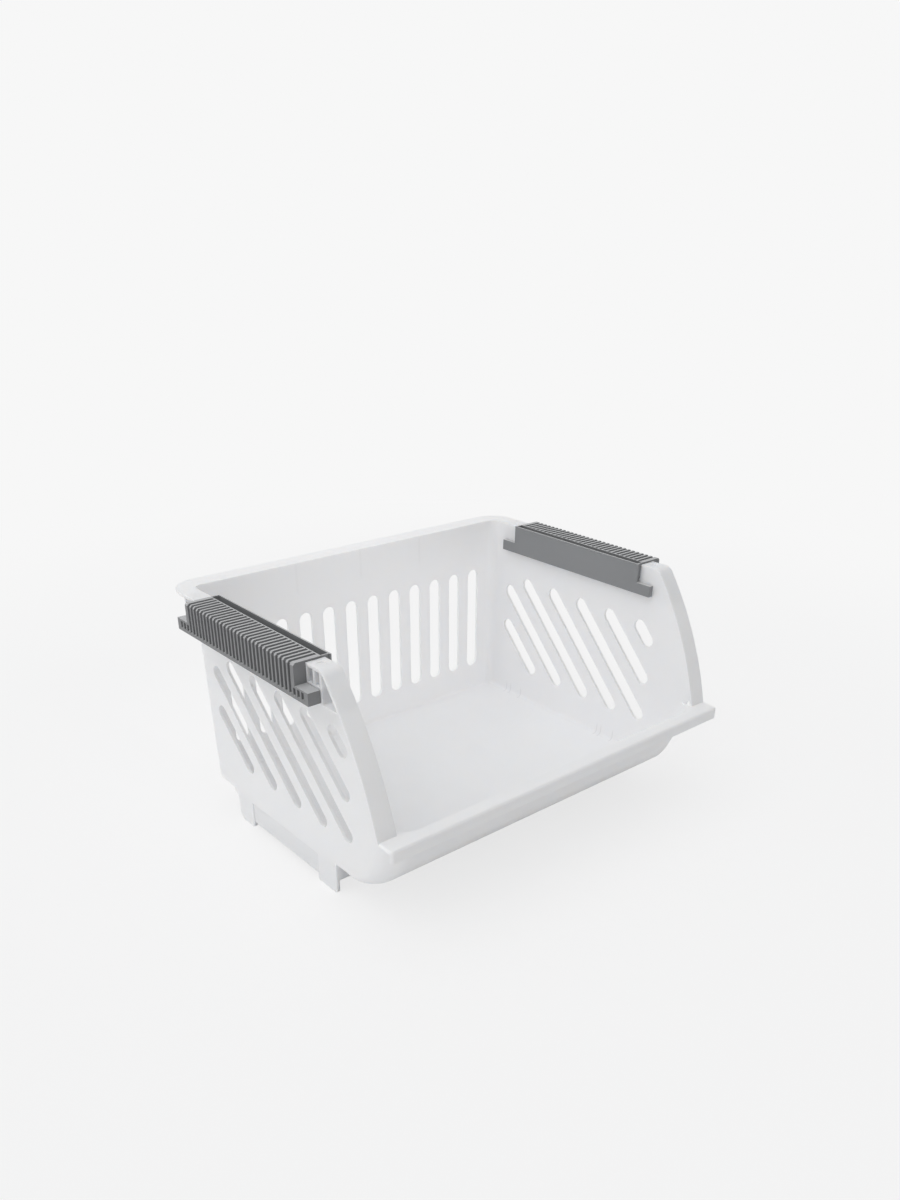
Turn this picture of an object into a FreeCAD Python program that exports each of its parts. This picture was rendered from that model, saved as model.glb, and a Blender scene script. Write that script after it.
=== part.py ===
import FreeCAD, Part
import math
import os

# Stackable storage basket with an open front. Millimetres, +Z up, front towards -Y.
# The origin lies on the floor under the feet, in the middle of the overall width and depth.

V = FreeCAD.Vector
os.makedirs("parts", exist_ok=True)

# Overall sizes of the white basket
rim_width = 360.0
depth = 293.0
rim_top = 199.7
floor_bottom = 24.2
wall = 2.4
side_draft = 0.017
rear_draft = 0.016
rim_overhang = 18.5
rear_flange_width = 14.4

# Rounded edges of the tub: the front corners grow wider as they rise from the floor
rear_corner_radius = 9.0
bottom_edge_radius = 6.0
front_corner_radius = 20.0
seam_tolerance = 0.005

# Front wall and lip
front_wall_lean = 22.0
front_bottom_radius = 50.0
lip_top = 92.0
lip_depth = 15.0
lip_drop = 9.5
lip_plate = 2.3
lip_edge_radius = 2.0
lip_corner_radius = 3.0
lip_width_less_than_rim = 1.2
front_wall_setback = 9.6

# Flange round the sides and the rear, and the curved front edge of the side walls
flange_width = 15.0
flange_plate = 2.3
flange_corner_radius = 23.0
cheek_top_setback = 59.0
cheek_arc_radius = 290.0
cheek_corner_radius = 9.0
cheek_corner_drop = 14.4
flange_draft = 0.011

# Notch in each side rim for the grip, with a ribbed block at each end
notch_front = -57.3
notch_rear = 97.0
notch_drop = 12.7
web = 1.7
web_pitch = 8.0
shelf_drop = 14.5
deep_web_drop = 26.7
mark_size = 5.5
mark_depth = 0.6

# Slots through the walls
slot_width = 13.0
side_slot_pitch = 25.2
side_slot_count = 7
side_slot_angle = 45.0
side_slot_first = -4.05
side_slot_above_floor = 37.8
side_slot_below_rim = 54.3
side_slot_front = -74.0
side_slot_rear = 102.0
rear_slot_pitch = 24.75
rear_slot_count = 12
rear_slot_above_floor = 34.6
rear_slot_below_rim = 52.2

# Gussets under the rear flange
gusset_count = 3
gusset_pitch = 68.0
gusset_height = 24.0
gusset_thickness = 1.8
gusset_setback = 1.5

# Feet and the skirts between them
leg_thickness = 2.8
leg_play = 1.0
front_leg_width = 25.5
rear_leg_width = 23.0
leg_corner_radius = 8.0
leg_edge_radius = 2.5
leg_root_radius = 6.0
foot_web_bottom = 11.3
foot_web_thickness = 1.8
foot_web_reach = 10.0
skirt_bottom = 5.3
skirt_recess = 0.9

# Grips: ribbed outer shell and inner plate
fit_gap = 0.3
grip_rise = 1.3
grip_height = 25.6
grip_overhang = 9.5
grip_wall = 3.2
grip_edge_chamfer = 1.6
grip_rear_play = 2.0
tail_thickness = 13.5
inner_leg_drop = 2.0
rib_pitch = 5.03
rib_groove = 3.0
rib_depth = 1.6
plain_strip = 2.6
tail_rib_drop = 1.5
plate_thickness = 1.3
groove_depth = 11.5
plate_end_wall = 1.2
plate_overhang = 1.2
plate_lap = 1.0

cavity_width_at_floor = rim_width - 2 * rim_overhang
front_y = -depth / 2
rear_y = depth / 2
reach_up = rim_top + 60.0
notch_floor = rim_top - notch_drop
shelf_bottom = rim_top - shelf_drop
deep_web_bottom = rim_top - deep_web_drop
side_slot_low = floor_bottom + side_slot_above_floor
side_slot_high = rim_top - side_slot_below_rim
rear_slot_low = floor_bottom + rear_slot_above_floor
rear_slot_high = rim_top - rear_slot_below_rim
grip_top = rim_top + grip_rise
grip_bottom = grip_top - grip_height
grip_outer = rim_width / 2 + grip_overhang
grip_tail_inner = grip_outer - tail_thickness
groove_floor = grip_top - groove_depth


def cavity_half_width(z):
    return cavity_width_at_floor / 2 + side_draft * (z - floor_bottom)


def rear_cavity(z):
    return rear_y - rear_flange_width - wall + rear_draft * (z - rim_top)


def flange_half_width(z):
    return rim_width / 2 + flange_draft * (z - rim_top)


def box(x0, x1, y0, y1, z0, z1):
    return Part.makeBox(x1 - x0, y1 - y0, z1 - z0, V(x0, y0, z0))


def both_sides(shape):
    return [shape, shape.mirror(V(0, 0, 0), V(1, 0, 0))]


def across_x(edges, half_width):
    face = Part.Face(Part.Wire(edges))
    return face.extrude(V(2 * half_width, 0, 0)).translated(V(-half_width, 0, 0))


def side_point(y, z):
    return V(0, y, z)


# Places of the grip pieces, from the notch and the wall
wall_outer = cavity_half_width(notch_floor) + wall
shell_inner = wall_outer + fit_gap
shell_front = notch_front + fit_gap
shell_rear = notch_rear - grip_rear_play
tail_top = shelf_bottom - fit_gap
tail_front = notch_front - 2 * web_pitch + fit_gap
tail_rear = notch_rear + 2 * web_pitch - grip_rear_play

# The legs are flush with the wall and drop into the groove of the grips below
leg_face = cavity_half_width(floor_bottom) + wall
leg_back = leg_face - leg_thickness
leg_front = shell_front + plate_end_wall + leg_play
leg_rear = shell_rear - plate_end_wall - leg_play
plate_face = leg_back - fit_gap - plate_thickness


# Side view of the front wall: a leaning straight wall over a large bottom radius
lean = math.radians(front_wall_lean)
front_wall_top = front_y + front_wall_setback
curve_centre_z = floor_bottom + front_bottom_radius
lean_start_z = curve_centre_z - front_bottom_radius * math.sin(lean)
lean_start_y = front_wall_top + (lip_top - lean_start_z) * math.tan(lean)
curve_centre_y = lean_start_y + front_bottom_radius * math.cos(lean)


def tub_edges(inset):
    """Side view of the tub, moved inwards by the inset on the front, floor and rear."""
    radius = front_bottom_radius - inset
    low = floor_bottom + inset
    start = side_point(curve_centre_y - radius * math.cos(lean), curve_centre_z - radius * math.sin(lean))
    middle_angle = (lean + math.pi / 2) / 2
    middle = side_point(
        curve_centre_y - radius * math.cos(middle_angle),
        curve_centre_z - radius * math.sin(middle_angle),
    )
    bottom = side_point(curve_centre_y, low)
    rear_bottom = side_point(rear_cavity(low) + wall - inset, low)
    rear_top = side_point(rear_cavity(reach_up) + wall - inset, reach_up)
    front_top = side_point(start.y - (reach_up - start.z) * math.tan(lean), reach_up)
    return [
        Part.Arc(start, middle, bottom).toShape(),
        Part.makeLine(bottom, rear_bottom),
        Part.makeLine(rear_bottom, rear_top),
        Part.makeLine(rear_top, front_top),
        Part.makeLine(front_top, start),
    ]


def from_curve_centre(point):
    return math.hypot(point.y - curve_centre_y, point.z - curve_centre_z)


def ahead_of_curve_centre(point):
    """Distance ahead of the curve's centre, square to the leaning front wall."""
    return (curve_centre_y - point.y) * math.cos(lean) + (curve_centre_z - point.z) * math.sin(lean)


def wedge(half_width, front, rear, low, high):
    """Everything between the two drafted side planes, over a stretch of depth and height."""
    points = [
        V(-half_width(low), front, low),
        V(half_width(low), front, low),
        V(half_width(high), front, high),
        V(-half_width(high), front, high),
    ]
    return Part.Face(Part.makePolygon(points + points[:1])).extrude(V(0, rear - front, 0))


def graded_fillet(body, edges):
    """Rounds edges with a radius that changes along each of them: (edge, radius low, radius high)."""
    document = FreeCAD.newDocument("fillet")
    base = document.addObject("Part::Feature", "base")
    base.Shape = body
    rounding = document.addObject("Part::Fillet", "rounding")
    rounding.Base = base
    rows = []
    for index, low_radius, high_radius in edges:
        edge = body.Edges[index]
        rising = edge.lastVertex(True).Point.z > edge.firstVertex(True).Point.z
        first, last = (low_radius, high_radius) if rising else (high_radius, low_radius)
        rows.append((index + 1, first, last))
    rounding.Edges = rows
    document.recompute()
    shape = rounding.Shape.copy()
    FreeCAD.closeDocument(document.Name)
    return shape


def middle(edge):
    return edge.valueAt((edge.FirstParameter + edge.LastParameter) / 2)


def tub(inset):
    """The tub as a closed solid: inset 0 is its outside, inset = wall is its cavity.

    Its lower edges are rounded in three stretches: a small radius round the floor, one that grows
    along the front curve, and a large one up the leaning front corners.
    """

    def half_width(z):
        return cavity_half_width(z) + wall - inset

    def at_side(point):
        return abs(point.x) > half_width(point.z) - 1

    low = floor_bottom + inset
    curve = front_bottom_radius - inset
    small = bottom_edge_radius - inset
    large = front_corner_radius - inset
    body = across_x(tub_edges(inset), rim_width).common(wedge(half_width, -depth, depth, 0, reach_up))
    upright = [
        edge
        for edge in body.Edges
        if at_side(middle(edge))
        and middle(edge).y > rear_cavity(middle(edge).z) + wall - inset - 1
    ]
    body = body.makeFillet(rear_corner_radius - inset, upright)

    behind_curve = box(-rim_width, rim_width, curve_centre_y, depth, 0, reach_up)
    rear = body.common(behind_curve)
    round_floor = [
        edge
        for edge in rear.Edges
        if abs(middle(edge).z - low) < 0.1 and middle(edge).y > curve_centre_y + 1
    ]
    rear = rear.makeFillet(small, round_floor)

    far_y = curve_centre_y - depth * math.cos(lean)
    corners = [
        side_point(curve_centre_y, curve_centre_z),
        side_point(far_y, curve_centre_z - depth * math.sin(lean)),
        side_point(far_y, reach_up),
        side_point(curve_centre_y, reach_up),
    ]
    above_curve = across_x(Part.makePolygon(corners + corners[:1]).Edges, rim_width)
    leaning = body.common(above_curve)
    lean_corners = [
        edge
        for edge in leaning.Edges
        if at_side(middle(edge)) and ahead_of_curve_centre(middle(edge)) > curve - 0.1
    ]
    leaning = leaning.makeFillet(large, lean_corners)

    curved = body.cut([above_curve, behind_curve])
    graded = [
        (index, small, large)
        for index, edge in enumerate(curved.Edges)
        if at_side(middle(edge)) and from_curve_centre(middle(edge)) > curve - 0.1
    ]
    curved = graded_fillet(curved, graded)
    return rear.fuse([curved, leaning], seam_tolerance).removeSplitter()


# Side view of the edge that the flange follows: lip foot, curved cheek, round corner, level rim
foot_y = front_y + lip_depth
foot = side_point(foot_y, lip_top)
corner_y = front_y + cheek_top_setback
upper = side_point(corner_y, rim_top - cheek_corner_drop)
chord = upper.sub(foot)
inward = side_point(chord.z, -chord.y).normalize()
sagitta_arm = math.sqrt(cheek_arc_radius**2 - (chord.Length / 2) ** 2)
cheek_centre = foot.add(chord.multiply(0.5)).add(inward.multiply(sagitta_arm))


def cheek_edges(inset):
    """The flange's edge line in side view, moved inwards by the inset, closed at the rear."""
    radius = cheek_arc_radius - inset
    corner = max(cheek_corner_radius - inset, 0.5)
    top = rim_top - inset
    low = lip_top - lip_plate
    corner_z = top - corner
    reach = math.sqrt((radius - corner) ** 2 - (corner_z - cheek_centre.z) ** 2)
    corner_centre = side_point(cheek_centre.y - reach, corner_z)
    outward = corner_centre.sub(cheek_centre).normalize()
    arc_end = cheek_centre.add(V(outward).multiply(radius))
    start_rise = low - cheek_centre.z
    arc_start = side_point(cheek_centre.y - math.sqrt(radius**2 - start_rise**2), low)
    middle_dir = arc_start.sub(cheek_centre).add(arc_end.sub(cheek_centre)).normalize()
    arc_middle = cheek_centre.add(V(middle_dir).multiply(radius))
    corner_dir = V(outward).add(V(0, 0, 1)).normalize()
    corner_middle = corner_centre.add(V(corner_dir).multiply(corner))
    corner_top = side_point(corner_centre.y, top)
    rear_top = side_point(rear_y + 20, top)
    rear_low = side_point(rear_y + 20, low)
    return [
        Part.Arc(arc_start, arc_middle, arc_end).toShape(),
        Part.Arc(arc_end, corner_middle, corner_top).toShape(),
        Part.makeLine(corner_top, rear_top),
        Part.makeLine(rear_top, rear_low),
        Part.makeLine(rear_low, arc_start),
    ]


def rim_prism():
    """Everything inside the flange's outer edge, with the two round rear corners."""
    prism = wedge(flange_half_width, front_y, rear_y, 0, reach_up)
    rear_edges = [
        edge
        for edge in prism.Edges
        if edge.CenterOfMass.y > rear_y - 1 and abs(edge.CenterOfMass.x) > flange_half_width(0) - 1
    ]
    return prism.makeFillet(flange_corner_radius, rear_edges)


def flange(cavity):
    outer = across_x(cheek_edges(0), rim_width)
    inner = across_x(cheek_edges(flange_plate), rim_width + 1)
    return outer.cut(inner).common(rim_prism()).cut(cavity)


def lip(cavity):
    """Inverted L along the top of the front wall, open at its ends."""
    half = rim_width / 2 - lip_width_less_than_rim
    drop = box(-half, half, front_y, front_y + wall, lip_top - lip_drop, lip_top)
    plate = box(-half, half, front_y, foot_y + flange_plate, lip_top - lip_plate, lip_top)
    shape = drop.fuse(plate).removeSplitter()
    at_front = [edge for edge in shape.Edges if abs(edge.CenterOfMass.y - front_y) < 0.1]
    corners = [edge for edge in at_front if abs(edge.CenterOfMass.x) > half - 0.1]
    shape = shape.makeFillet(lip_corner_radius, corners)
    soft = [
        edge
        for edge in shape.Edges
        if edge.CenterOfMass.y < front_y + lip_corner_radius and edge.CenterOfMass.z > lip_top - 0.1
    ]
    return shape.makeFillet(lip_edge_radius, soft).cut(cavity)


def obround(length, width, height):
    """A slot cutter along local X, standing along local Z, centred on the origin."""
    straight = length - width
    cutter = box(-straight / 2, straight / 2, -width / 2, width / 2, -height / 2, height / 2)
    for end in (-straight / 2, straight / 2):
        cutter = cutter.fuse(Part.makeCylinder(width / 2, height, V(end, 0, -height / 2)))
    return cutter


def side_slots():
    """Slanted slots: each lies on a line that climbs to the rear, where it crosses one field."""
    angle = math.radians(side_slot_angle)
    rise = math.tan(angle)
    step = side_slot_pitch / math.cos(angle)
    x = cavity_half_width(side_slot_high)
    cutters = []
    for index in range(side_slot_count):
        offset = side_slot_first + step * index
        low_y = max(side_slot_front, (side_slot_low - offset) / rise)
        high_y = min(side_slot_rear, (side_slot_high - offset) / rise)
        if high_y < low_y:
            continue
        length = (high_y - low_y) / math.cos(angle) + slot_width
        cutter = obround(length, slot_width, 8 * wall)
        cutter.rotate(V(0, 0, 0), V(1, 0, 0), 90)
        cutter.rotate(V(0, 0, 0), V(0, 0, 1), 90)
        cutter.rotate(V(0, 0, 0), V(1, 0, 0), side_slot_angle)
        middle_y = (low_y + high_y) / 2
        cutter.translate(V(x, middle_y, offset + rise * middle_y))
        cutters += both_sides(cutter)
    return cutters


def rear_slots():
    length = rear_slot_high - rear_slot_low + slot_width
    middle = (rear_slot_high + rear_slot_low) / 2
    cutters = []
    for index in range(rear_slot_count):
        cutter = obround(length, slot_width, 8 * wall)
        cutter.rotate(V(0, 0, 0), V(0, 1, 0), 90)
        cutter.rotate(V(0, 0, 0), V(0, 0, 1), 90)
        x = (index - (rear_slot_count - 1) / 2) * rear_slot_pitch
        cutter.translate(V(x, rear_cavity(middle) + wall / 2, middle))
        cutters.append(cutter)
    return cutters


def blocks():
    """Ribbed blocks under the flange at the two ends of each grip notch."""
    inner = cavity_half_width(deep_web_bottom) + wall / 2
    outer = rim_width
    top = rim_top - flange_plate / 2
    pieces = []
    for start, way in ((notch_front, -1), (notch_rear, 1)):
        for index, low in enumerate((shelf_bottom, shelf_bottom, deep_web_bottom)):
            near = start + way * index * web_pitch
            far = near + way * web
            pieces.append(box(inner, outer, min(near, far), max(near, far), low, top))
        end = start + way * (2 * web_pitch + web)
        pieces.append(box(inner, outer, min(start, end), max(start, end), shelf_bottom, shelf_bottom + web))
    cheek_y = notch_front - 2 * web_pitch - web
    pieces.append(box(inner, outer, front_y, cheek_y + web, deep_web_bottom, deep_web_bottom + web))
    limit = across_x(cheek_edges(flange_plate / 2), rim_width).common(rim_prism())
    fused = pieces[0].multiFuse(pieces[1:]).common(limit)
    return both_sides(fused)


def leg_end(near, far, rounded_y, radius):
    """One leg panel, with the lower corner at rounded_y rounded."""
    leg = box(leg_back, leg_face, near, far, 0, floor_bottom + wall)
    for y, corner in ((rounded_y, radius), (near + far - rounded_y, leg_edge_radius)):
        edges = [
            edge
            for edge in leg.Edges
            if edge.CenterOfMass.z < 0.1 and abs(edge.CenterOfMass.y - y) < 0.1
        ]
        leg = leg.makeFillet(corner, edges)
    return leg


def feet():
    """Two legs on each side, flush with the wall, the skirt between them and the webs behind."""
    inside = floor_bottom + wall
    join = floor_bottom + bottom_edge_radius + wall
    front_far = leg_front + front_leg_width
    rear_near = leg_rear - rear_leg_width
    root_end = leg_rear + leg_root_radius
    parts = [
        leg_end(leg_front, front_far, leg_front, leg_edge_radius),
        leg_end(rear_near, leg_rear, leg_rear, leg_corner_radius),
    ]
    for near, far in ((leg_front, front_far), (rear_near, leg_rear)):
        for y in (near, far - foot_web_thickness):
            x0 = leg_back - foot_web_reach
            x1 = leg_back + leg_thickness / 2
            parts.append(box(x0, x1, y, y + foot_web_thickness, foot_web_bottom, inside))
    near = front_far - leg_thickness / 2
    far = rear_near + leg_thickness / 2
    parts.append(box(leg_back, leg_face - skirt_recess, near, far, skirt_bottom, inside))
    side = wedge(lambda z: cavity_half_width(z) + wall, leg_front, root_end, floor_bottom, join)
    flush = side.common(box(leg_back, rim_width, leg_front, root_end, floor_bottom, join))
    root = box(leg_back, leg_face, leg_rear - 1, root_end, floor_bottom - leg_root_radius, inside)
    round_off = Part.makeCylinder(
        leg_root_radius, rim_width, V(0, root_end, floor_bottom - leg_root_radius), V(1, 0, 0)
    )
    parts.append(flush.fuse(root).cut(round_off))
    return parts


def gussets():
    bottom = rim_top - gusset_height
    y0 = rear_cavity(rim_top) + wall / 2
    y1 = rear_y - gusset_setback
    parts = []
    for index in range(gusset_count):
        x = (index - (gusset_count - 1) / 2) * gusset_pitch
        points = [
            V(x, y0, bottom),
            V(x, y0 + wall, bottom),
            V(x, y1, rim_top - flange_plate),
            V(x, y1, rim_top - flange_plate / 2),
            V(x, y0, rim_top - flange_plate / 2),
        ]
        face = Part.Face(Part.makePolygon(points + points[:1]))
        rib = face.extrude(V(gusset_thickness, 0, 0)).translated(V(-gusset_thickness / 2, 0, 0))
        parts.append(rib)
    return parts


def basket_body():
    outside = tub(0)
    cavity = tub(wall)
    keep = across_x(cheek_edges(0), rim_width)
    below = box(-rim_width, rim_width, -depth, depth, 0, lip_top - lip_plate / 2)
    shell = outside.common(keep.fuse(below))
    added = [flange(cavity), lip(cavity)] + blocks() + gussets()
    for part in feet():
        added += both_sides(part)
    body = shell.multiFuse(added).cut(cavity)
    tools = side_slots() + rear_slots()
    tools.append(wedge(cavity_half_width, -depth, curve_centre_y, lip_top, reach_up))
    notch = box(rim_width / 2 - 2 * flange_width, rim_width, notch_front, notch_rear, notch_floor, reach_up)
    tools += both_sides(notch)
    mark_y = notch_front - web_pitch
    mark_x = (cavity_half_width(rim_top) + flange_half_width(rim_top)) / 2
    mark = box(
        mark_x - mark_size / 2,
        mark_x + mark_size / 2,
        mark_y - mark_size / 2,
        mark_y + mark_size / 2,
        rim_top - mark_depth,
        rim_top + 1,
    )
    tools += both_sides(mark)
    return body.cut(tools).removeSplitter()


def grip_shell():
    """Ribbed outer moulding of the right grip, hollow below for the fingers."""
    upper = box(shell_inner, grip_outer, shell_front, shell_rear, grip_bottom, grip_top)
    crown = [
        edge
        for edge in upper.Edges
        if edge.CenterOfMass.x > grip_outer - 0.1 and edge.CenterOfMass.z > grip_top - 0.1
    ]
    upper = upper.makeChamfer(grip_edge_chamfer, crown)
    hollow = box(
        shell_inner + grip_wall,
        grip_outer - grip_wall,
        shell_front + grip_wall,
        shell_rear - grip_wall,
        grip_bottom - 1,
        grip_top - grip_wall - rib_depth,
    )
    inner_leg_end = notch_floor - inner_leg_drop
    inner_leg_cut = box(
        shell_inner - 1, grip_tail_inner, shell_front - 1, shell_rear + 1, grip_bottom - 1, inner_leg_end
    )
    shell = upper.cut(hollow).cut(inner_leg_cut)
    tails = []
    for near, far in ((tail_front, shell_front + grip_wall), (shell_rear - grip_wall, tail_rear)):
        tail = box(grip_tail_inner, grip_outer, near, far, grip_bottom, tail_top)
        pocket = box(
            grip_tail_inner + grip_wall,
            grip_outer - grip_wall,
            near + grip_wall,
            far - grip_wall,
            grip_bottom - 1,
            tail_top - grip_wall,
        )
        tails.append(tail.cut(pocket))
    shell = shell.multiFuse(tails)
    grooves = []
    span = shell_rear - shell_front
    count = int((span - rib_pitch / 2) / rib_pitch)
    first = shell_front + (span - count * rib_pitch + rib_pitch - rib_groove) / 2
    low = grip_bottom + plain_strip
    for index in range(count):
        y = first + index * rib_pitch
        y1 = y + rib_groove
        grooves.append(box(shell_inner + 1, grip_outer + 1, y, y1, grip_top - rib_depth, grip_top + 1))
        grooves.append(box(grip_outer - rib_depth, grip_outer + 1, y, y1, low, grip_top + 1))
    tail_count = int((shell_front - tail_front) / rib_pitch)
    for index in range(tail_count):
        for y in (first - (index + 1) * rib_pitch, first + (count + index) * rib_pitch):
            y1 = y + rib_groove
            grooves.append(box(grip_outer - rib_depth, grip_outer + 1, y, y1, low, tail_top - tail_rib_drop))
    return shell.cut(grooves).removeSplitter()


def grip_inner_plate():
    """Plate inside the right rim, with the floor of the groove that takes the next basket's feet."""
    back = cavity_half_width(grip_bottom) - fit_gap
    front = shell_front - plate_overhang
    tall = box(plate_face, plate_face + plate_thickness, front, shell_rear, grip_bottom, grip_top)
    low = box(plate_face, back, tail_front, tail_rear, grip_bottom, tail_top)
    bridge_bottom = notch_floor + fit_gap
    bridge_end = shell_inner - fit_gap
    lower_back = box(plate_face, back, shell_front, shell_rear, tail_top - plate_lap, groove_floor)
    bridge = box(plate_face, bridge_end, shell_front, shell_rear, bridge_bottom, groove_floor)
    parts = [low, lower_back, bridge]
    for y in (shell_front, shell_rear - plate_end_wall):
        parts.append(box(plate_face, bridge_end, y, y + plate_end_wall, bridge_bottom, grip_top))
    return tall.multiFuse(parts).removeSplitter()


def write(name, shape):
    shape.exportStep("parts/" + name + ".step")
    print(name, "valid", shape.isValid(), "solids", len(shape.Solids), "volume", round(shape.Volume))


right_shell = grip_shell()
right_plate = grip_inner_plate()
write("basket_body", basket_body())
write("right_grip_shell", right_shell)
write("left_grip_shell", right_shell.mirror(V(0, 0, 0), V(1, 0, 0)))
write("right_grip_inner_plate", right_plate)
write("left_grip_inner_plate", right_plate.mirror(V(0, 0, 0), V(1, 0, 0)))
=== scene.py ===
import math

import bmesh
import bpy
from mathutils import Matrix, Vector
from mathutils.bvhtree import BVHTree
from mathutils.interpolate import poly_3d_calc


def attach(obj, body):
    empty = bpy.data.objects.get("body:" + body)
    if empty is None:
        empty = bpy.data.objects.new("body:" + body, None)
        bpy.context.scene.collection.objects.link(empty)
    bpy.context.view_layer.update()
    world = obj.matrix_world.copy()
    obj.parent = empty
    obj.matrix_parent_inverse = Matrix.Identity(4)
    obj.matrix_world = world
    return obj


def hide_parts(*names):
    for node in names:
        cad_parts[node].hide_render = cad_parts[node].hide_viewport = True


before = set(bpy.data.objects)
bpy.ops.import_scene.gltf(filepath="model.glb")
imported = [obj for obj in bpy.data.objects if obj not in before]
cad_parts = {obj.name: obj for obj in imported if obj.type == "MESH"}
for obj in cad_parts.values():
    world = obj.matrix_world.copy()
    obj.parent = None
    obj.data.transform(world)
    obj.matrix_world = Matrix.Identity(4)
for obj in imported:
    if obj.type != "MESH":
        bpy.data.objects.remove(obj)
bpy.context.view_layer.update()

# Camera, solved from the photograph's own perspective (metres, degrees, photograph pixels)
photo_height = 1200
focal_pixels = 963.5
principal_y = 800.0
camera_azimuth = 40.86
camera_elevation = 30.98
camera_roll = 0.82
camera_place = Vector((-0.49638, -0.57246, 0.45252))
sensor_size = 36.0
nearest_seen = 0.01
farthest_seen = 200.0

# Light levels, at which a colour renders about as it is written; the room is darker in front
sky_colour = (0.985, 0.99, 1.0, 1.0)
sky_level = 0.705
sky_front_share = 0.22
sky_bright_side = Vector((-0.6, 0.8, 0.0))
sky_darkest_at = -1.0
sky_brightest_at = 0.2
sun_power = 0.86
sun_spread = 60.0
sun_from = Vector((-0.35, 0.05, 1.0))
fill_power = 11.0
fill_place = Vector((-0.05, -0.95, 0.75))
fill_aim = Vector((0.0, 0.14, 0.155))
fill_cone = 22.0
fill_size = 0.10

# Floor and backdrop; past the far distance the floor looks as plain as the backdrop (metres)
backdrop_grey = 0.93
floor_grey = 0.96
floor_blue_share = 1.003
floor_half = 30.0
shadow_near = 0.45
shadow_far = 1.1
shadow_hidden_share = 0.80

# Skin of the moulded plastics: flow clouds, slow waves and spark-eroded grain
cloud_scale = 14.0
cloud_detail = 2.0
cloud_mix = 0.5
cloud_ends = (0.3, 0.7)
cloud_dark = 0.975
cloud_light = 1.02
wave_scale = 22.0
wave_detail = 1.0
wave_mix = 0.4
wave_strength = 0.10
wave_depth = 0.0006
grain_detail = 2.0
grain_mix = 0.6
grain_strength = 0.25
roughness_spread = 0.06
plastic_ior = 1.49
scatter_radius = (1.0, 0.95, 0.9)
# Normal heights over which up-facing faces blend to the lighter top colour, a painted highlight
painted_top_light_ends = (0.3, 0.9)

# Faint marks of the white plastic, moulding sink lines and painted shade lines at the skirt's crease and
# leg edges: where they lie and how softly they end (metres)
foot_sink_lines = (-0.0485, -0.0337, -0.0285, 0.078, 0.093, 0.099)
foot_sink_heights = (0.024, 0.034)
gusset_sink_lines = (-0.068, 0.0, 0.068)
gusset_sink_heights = (0.176, 0.196)
inner_wall = (0.1565, 0.1628)
rear_wall_inside = (0.126, 0.1312)
outside_of_skirt = (0.1625, 1.0)
skirt_crease = 0.0239
leg_edges = (-0.0293, 0.0698)
thin_line_half = 0.0004
gusset_line_half = 0.0008
long_fade = 0.004
wall_fade = 0.0004
leg_fade = 0.0003
skirt_fade = 0.0001
# Darkness of the sink lines over the feet and of the painted shade lines on the skirt
sink_and_shade_line_darkness = 0.10
faint_mark = 0.03

# Floors of the grips' side grooves, where painted shade darkens the grey (metres)
groove_floor = (0.1865, 0.1881)
groove_fade = 0.0002
groove_darkness = 0.38
sideways_from = 0.8

# Points of the CAD mesh that are nearer than this are one point (metres)
same_place = 1e-6

# Blender's mix node has one set of sockets per data type; these are the colour ones
mix_factor, mix_first, mix_second = 0, 6, 7
mix_result = 2


def make_camera():
    azimuth = math.radians(camera_azimuth)
    elevation = math.radians(camera_elevation)
    roll = math.radians(camera_roll)
    flat = math.cos(elevation)
    forward = Vector((math.sin(azimuth) * flat, math.cos(azimuth) * flat, -math.sin(elevation)))
    level_right = Vector((math.cos(azimuth), -math.sin(azimuth), 0))
    level_up = level_right.cross(forward)
    right = math.cos(roll) * level_right + math.sin(roll) * level_up
    up = -math.sin(roll) * level_right + math.cos(roll) * level_up
    data = bpy.data.cameras.new("camera")
    data.sensor_fit = "VERTICAL"
    data.sensor_height = sensor_size
    data.sensor_width = sensor_size
    data.lens = focal_pixels * sensor_size / photo_height
    data.shift_y = (principal_y - photo_height / 2) / photo_height
    data.clip_start = nearest_seen
    data.clip_end = farthest_seen
    camera = bpy.data.objects.new("camera", data)
    turn = Matrix((right, up, -forward)).transposed().to_4x4()
    camera.matrix_world = Matrix.Translation(camera_place) @ turn
    bpy.context.scene.collection.objects.link(camera)
    bpy.context.scene.camera = camera


def even_grey(level):
    return (level, level, level, 1.0)


def shade(colour, factor):
    return tuple(channel * factor for channel in colour) + (1.0,)


def new_material(name):
    material = bpy.data.materials.new(name)
    material.use_nodes = True
    tree = material.node_tree
    tree.nodes.clear()
    output = tree.nodes.new("ShaderNodeOutputMaterial")
    return material, tree, output


def noise(tree, place, scale, detail, mix):
    node = tree.nodes.new("ShaderNodeTexNoise")
    node.inputs["Scale"].default_value = scale
    node.inputs["Detail"].default_value = detail
    node.inputs["Roughness"].default_value = mix
    tree.links.new(place, node.inputs["Vector"])
    return node.outputs["Fac"]


def clouded(tree, cloud, colour):
    """The colour, a little darker and lighter with the flow clouds."""
    node = tree.nodes.new("ShaderNodeValToRGB")
    for end, place, factor in zip(node.color_ramp.elements, cloud_ends, (cloud_dark, cloud_light)):
        end.position = place
        end.color = shade(colour, factor)
    tree.links.new(cloud, node.inputs["Fac"])
    return node.outputs["Color"]


def map_range(tree, value, from_ends, to_ends, smooth=False):
    """The value carried from one pair of ends to the other, and held within them."""
    node = tree.nodes.new("ShaderNodeMapRange")
    if smooth:
        node.interpolation_type = "SMOOTHSTEP"
    for name, end in zip(("From Min", "From Max", "To Min", "To Max"), from_ends + to_ends):
        node.inputs[name].default_value = end
    tree.links.new(value, node.inputs["Value"])
    return node.outputs["Result"]


def bump(tree, height, strength, distance, below=None):
    node = tree.nodes.new("ShaderNodeBump")
    node.inputs["Strength"].default_value = strength
    node.inputs["Distance"].default_value = distance
    tree.links.new(height, node.inputs["Height"])
    if below:
        tree.links.new(below, node.inputs["Normal"])
    return node.outputs["Normal"]


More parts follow.
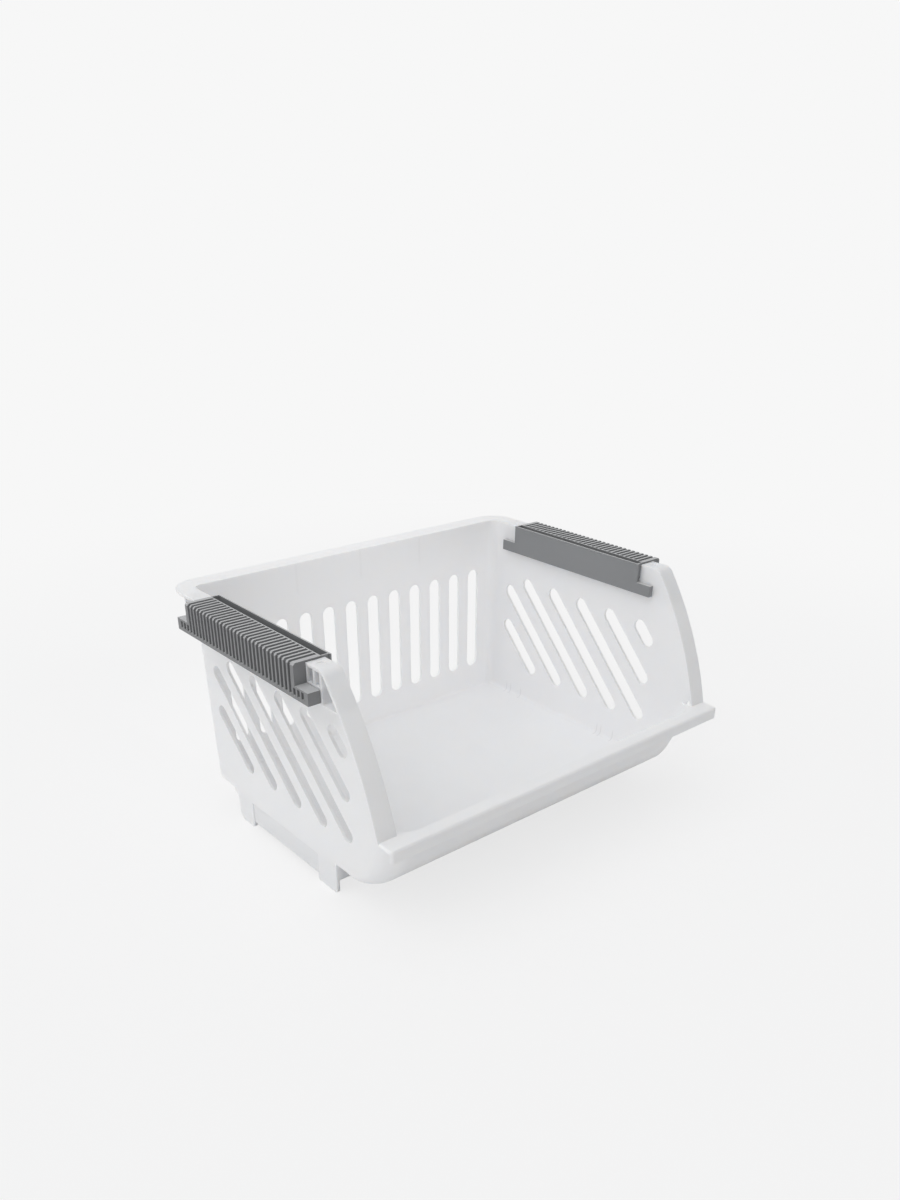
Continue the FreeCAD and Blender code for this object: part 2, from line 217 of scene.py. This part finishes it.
def math_node(tree, operation, *values):
    node = tree.nodes.new("ShaderNodeMath")
    node.operation = operation
    for socket, value in zip(node.inputs, values):
        if isinstance(value, float):
            socket.default_value = value
        else:
            tree.links.new(value, socket)
    return node.outputs["Value"]


def times(tree, first, second):
    return math_node(tree, "MULTIPLY", first, second)


def greater(tree, first, second):
    return math_node(tree, "MAXIMUM", first, second)


def size_of(tree, value):
    return math_node(tree, "ABSOLUTE", value)


def axes_of(tree, vector):
    node = tree.nodes.new("ShaderNodeSeparateXYZ")
    tree.links.new(vector, node.inputs["Vector"])
    return [node.outputs[axis] for axis in "XYZ"]


def facing(tree):
    """The three axes of the surface's normal."""
    return axes_of(tree, tree.nodes.new("ShaderNodeNewGeometry").outputs["Normal"])


def mix_colours(tree, factor, first, second):
    node = tree.nodes.new("ShaderNodeMix")
    node.data_type = "RGBA"
    tree.links.new(factor, node.inputs[mix_factor])
    tree.links.new(first, node.inputs[mix_first])
    if isinstance(second, tuple):
        node.inputs[mix_second].default_value = second
    else:
        tree.links.new(second, node.inputs[mix_second])
    return node.outputs[mix_result]


def mix_shaders(tree, factor, first, second):
    node = tree.nodes.new("ShaderNodeMixShader")
    tree.links.new(factor, node.inputs["Fac"])
    tree.links.new(first, node.inputs[1])
    tree.links.new(second, node.inputs[2])
    return node.outputs["Shader"]


def band(tree, value, ends, fade):
    """1 between the two ends and 0 outside, with a soft edge at both."""
    low, high = ends
    above = map_range(tree, value, (low - fade, low), (0.0, 1.0))
    below = map_range(tree, value, (high, high + fade), (1.0, 0.0))
    return times(tree, above, below)


def lines(tree, value, centres, half):
    """Thin soft lines at the given places along one axis."""
    total = None
    for centre in centres:
        line = band(tree, value, (centre - half, centre + half), half)
        total = greater(tree, total, line) if total else line
    return total


def sink_marks_and_painted_shade(tree, place):
    """How much darker the white is: moulding sink lines over the webs, and painted shade lines at the
    skirt's crease and the leg edges.
    """
    x, y, z = axes_of(tree, place)
    across = size_of(tree, x)
    on_side = band(tree, across, inner_wall, wall_fade)
    over_feet = times(tree, on_side, band(tree, z, foot_sink_heights, long_fade))
    feet = times(tree, over_feet, lines(tree, y, foot_sink_lines, thin_line_half))
    on_rear = band(tree, y, rear_wall_inside, wall_fade)
    over_gussets = times(tree, on_rear, band(tree, z, gusset_sink_heights, long_fade))
    gussets = times(tree, over_gussets, lines(tree, x, gusset_sink_lines, gusset_line_half))
    between_legs = band(tree, y, leg_edges, leg_fade)
    # Painted shade: thin dark lines at the skirt's crease and the leg edges, where the steps cast thin
    # shadows
    crease_painted_shade = times(tree, between_legs, lines(tree, z, (skirt_crease,), thin_line_half))
    below_crease = band(tree, z, (0.0, skirt_crease), leg_fade)
    edges = times(tree, below_crease, lines(tree, y, leg_edges, thin_line_half))
    outside = band(tree, across, outside_of_skirt, skirt_fade)
    skirt_painted_shade = times(tree, outside, greater(tree, crease_painted_shade, edges))
    sinks_and_painted_shade = times(tree, greater(tree, feet, skirt_painted_shade), sink_and_shade_line_darkness)
    faint = times(tree, gussets, faint_mark)
    return greater(tree, sinks_and_painted_shade, faint)


def groove_shade(tree, place):
    """Painted shade: how much darker the grips are on the floors of their side grooves."""
    across = size_of(tree, axes_of(tree, place)[0])
    sideways = math_node(tree, "GREATER_THAN", size_of(tree, facing(tree)[0]), sideways_from)
    floors = times(tree, band(tree, across, groove_floor, groove_fade), sideways)
    return times(tree, floors, groove_darkness)


def moulded_plastic(name, colour, roughness, grain, depth, scatter_depth=0.0, painted_top_light_colour=None, marks_and_painted_shade=None):
    """Matte moulded plastic: fine spark-eroded grain, slow waviness and faint flow clouds.

    Faces that look up take a lighter top colour: a painted highlight of the light from above.
    """
    material, tree, output = new_material(name)
    shader = tree.nodes.new("ShaderNodeBsdfPrincipled")
    place = tree.nodes.new("ShaderNodeTexCoord").outputs["Object"]
    cloud = noise(tree, place, cloud_scale, cloud_detail, cloud_mix)
    fine = noise(tree, place, grain, grain_detail, grain_mix)
    slow = noise(tree, place, wave_scale, wave_detail, wave_mix)
    tint = clouded(tree, cloud, colour)
    # Painted highlight: faces that look up are lightened towards the top colour
    if painted_top_light_colour:
        painted_top_light_share = map_range(tree, facing(tree)[2], painted_top_light_ends, (0.0, 1.0), smooth=True)
        tint = mix_colours(tree, painted_top_light_share, tint, clouded(tree, cloud, painted_top_light_colour))
    # Darkens towards black by the mask: moulding sink lines, and painted shade at the skirt's crease, the
    # leg edges and the grips' groove floors
    if marks_and_painted_shade:
        tint = mix_colours(tree, marks_and_painted_shade(tree, place), tint, even_grey(0.0))
    tree.links.new(tint, shader.inputs["Base Color"])
    rough_ends = (roughness - roughness_spread, roughness + roughness_spread)
    tree.links.new(map_range(tree, fine, (0.0, 1.0), rough_ends), shader.inputs["Roughness"])
    wavy = bump(tree, slow, wave_strength, wave_depth)
    tree.links.new(bump(tree, fine, grain_strength, depth, wavy), shader.inputs["Normal"])
    shader.inputs["IOR"].default_value = plastic_ior
    if scatter_depth:
        shader.inputs["Subsurface Weight"].default_value = 1.0
        shader.inputs["Subsurface Radius"].default_value = scatter_radius
        shader.inputs["Subsurface Scale"].default_value = scatter_depth
    tree.links.new(shader.outputs["BSDF"], output.inputs["Surface"])
    return material


def floor_material():
    """Pale floor: it takes the shadow near the object and fades to the backdrop's own grey."""
    material, tree, output = new_material("studio_floor")
    diffuse = tree.nodes.new("ShaderNodeBsdfDiffuse")
    diffuse.inputs["Color"].default_value = (floor_grey, floor_grey, floor_grey * floor_blue_share, 1)
    plain = tree.nodes.new("ShaderNodeEmission")
    plain.inputs["Color"].default_value = even_grey(backdrop_grey)
    distance = tree.nodes.new("ShaderNodeVectorMath")
    distance.operation = "LENGTH"
    tree.links.new(tree.nodes.new("ShaderNodeTexCoord").outputs["Object"], distance.inputs[0])
    fade = map_range(
        tree,
        distance.outputs["Value"],
        (shadow_near, shadow_far),
        (shadow_hidden_share, 1.0),
        smooth=True,
    )
    seen = tree.nodes.new("ShaderNodeLightPath").outputs["Is Camera Ray"]
    surface = mix_shaders(tree, times(tree, fade, seen), diffuse.outputs["BSDF"], plain.outputs["Emission"])
    tree.links.new(surface, output.inputs["Surface"])
    return material


def make_floor():
    mesh = bpy.data.meshes.new("studio_floor")
    half = floor_half
    corners = [(-half, -half, 0), (half, -half, 0), (half, half, 0), (-half, half, 0)]
    mesh.from_pydata(corners, [], [(0, 1, 2, 3)])
    mesh.materials.append(floor_material())
    floor = bpy.data.objects.new("studio_floor", mesh)
    bpy.context.scene.collection.objects.link(floor)


def make_world():
    """A sky that is darker in front of the basket, and a plain grey where the camera sees it."""
    world = bpy.data.worlds.new("studio")
    bpy.context.scene.world = world
    world.use_nodes = True
    tree = world.node_tree
    tree.nodes.clear()
    output = tree.nodes.new("ShaderNodeOutputWorld")
    light = tree.nodes.new("ShaderNodeBackground")
    light.inputs["Color"].default_value = sky_colour
    direction = tree.nodes.new("ShaderNodeVectorMath")
    direction.operation = "DOT_PRODUCT"
    direction.inputs[1].default_value = sky_bright_side
    tree.links.new(tree.nodes.new("ShaderNodeTexCoord").outputs["Generated"], direction.inputs[0])
    level = map_range(
        tree,
        direction.outputs["Value"],
        (sky_darkest_at, sky_brightest_at),
        (sky_level * sky_front_share, sky_level),
        smooth=True,
    )
    tree.links.new(level, light.inputs["Strength"])
    plain = tree.nodes.new("ShaderNodeBackground")
    plain.inputs["Color"].default_value = even_grey(backdrop_grey)
    plain.inputs["Strength"].default_value = 1.0
    seen = tree.nodes.new("ShaderNodeLightPath").outputs["Is Camera Ray"]
    surface = mix_shaders(tree, seen, light.outputs["Background"], plain.outputs["Background"])
    tree.links.new(surface, output.inputs["Surface"])


def make_key_light():
    data = bpy.data.lights.new("key", "SUN")
    data.energy = sun_power
    data.angle = math.radians(sun_spread)
    key = bpy.data.objects.new("key", data)
    key.rotation_euler = sun_from.to_track_quat("Z", "Y").to_euler()
    bpy.context.scene.collection.objects.link(key)


def make_fill_light():
    """A soft cone from the front and above that reaches the rear wall and passes over the lip."""
    data = bpy.data.lights.new("fill", "SPOT")
    data.energy = fill_power
    data.spot_size = math.radians(fill_cone)
    data.spot_blend = 1.0
    data.shadow_soft_size = fill_size
    fill = bpy.data.objects.new("fill", data)
    fill.location = fill_place
    fill.rotation_euler = (fill_place - fill_aim).to_track_quat("Z", "Y").to_euler()
    bpy.context.scene.collection.objects.link(fill)


def take_normals(mesh, source):
    """Gives every face corner the normal that the CAD surface has there, mirrored on the right half."""
    points = [vertex.co for vertex in source.vertices]
    tree = BVHTree.FromPolygons(points, [tuple(face.vertices) for face in source.polygons])
    normals = []
    for face in mesh.polygons:
        flip = Vector((-1.0 if face.center.x > 0 else 1.0, 1.0, 1.0))
        under = source.polygons[tree.find_nearest(face.center * flip)[2]]
        corners = [points[index] for index in under.vertices]
        theirs = [source.corner_normals[index].vector for index in under.loop_indices]
        for index in face.vertices:
            weights = poly_3d_calc(corners, mesh.vertices[index].co * flip)
            normal = sum((vector * weight for vector, weight in zip(theirs, weights)), Vector())
            normals.append((normal * flip).normalized())
    mesh.normals_split_custom_set(normals)


def even_moulding(material):
    """The white moulding from its left half and the mirror image of it.

    The real basket is the same on both sides, while the solid has two small steps in the rounding
    of its right front corner.
    """
    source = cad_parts["basket_body"].data
    shape = bmesh.new()
    shape.from_mesh(source)
    bmesh.ops.remove_doubles(shape, verts=shape.verts, dist=same_place)
    everything = shape.verts[:] + shape.edges[:] + shape.faces[:]
    bmesh.ops.symmetrize(shape, input=everything, direction="-X", dist=same_place)
    for face in shape.faces:
        face.smooth = True
    mesh = bpy.data.meshes.new("basket_moulding")
    shape.to_mesh(mesh)
    shape.free()
    take_normals(mesh, source)
    mesh.materials.append(material)
    piece = bpy.data.objects.new("basket_moulding", mesh)
    bpy.context.scene.collection.objects.link(piece)
    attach(piece, "root")
    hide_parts("basket_body")


def dress(node, material):
    """Gives a CAD node its finished material in every slot."""
    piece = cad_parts[node]
    piece.data.materials.clear()
    piece.data.materials.append(material)


make_camera()
make_world()
make_key_light()
make_fill_light()
make_floor()

white = moulded_plastic(
    name="white_polypropylene",
    colour=(0.938, 0.938, 0.952),
    roughness=0.42,
    grain=900.0,
    depth=0.00012,
    scatter_depth=0.0035,
    # moulding sink lines, and painted shade lines at the skirt's crease and leg edges
    marks_and_painted_shade=sink_marks_and_painted_shade,
)
grey = moulded_plastic(
    name="grey_grip_plastic",
    colour=(0.24, 0.243, 0.247),
    roughness=0.50,
    grain=1100.0,
    depth=0.0002,
    # lighter colour of up-facing faces: a painted highlight
    painted_top_light_colour=(0.52, 0.525, 0.53),
    # painted shade on the floors of the side grooves
    marks_and_painted_shade=groove_shade,
)
dark = moulded_plastic(
    name="dark_grip_plastic",
    colour=(0.264, 0.270, 0.276),
    roughness=0.50,
    grain=1100.0,
    depth=0.0002,
    # lighter colour of up-facing faces: a painted highlight
    painted_top_light_colour=(0.54, 0.545, 0.55),
)
dress("basket_body", white)
even_moulding(white)
dress("left_grip_shell", grey)
dress("right_grip_shell", grey)
dress("left_grip_inner_plate", dark)
dress("right_grip_inner_plate", dark)

bpy.context.scene.view_settings.view_transform = "Standard"
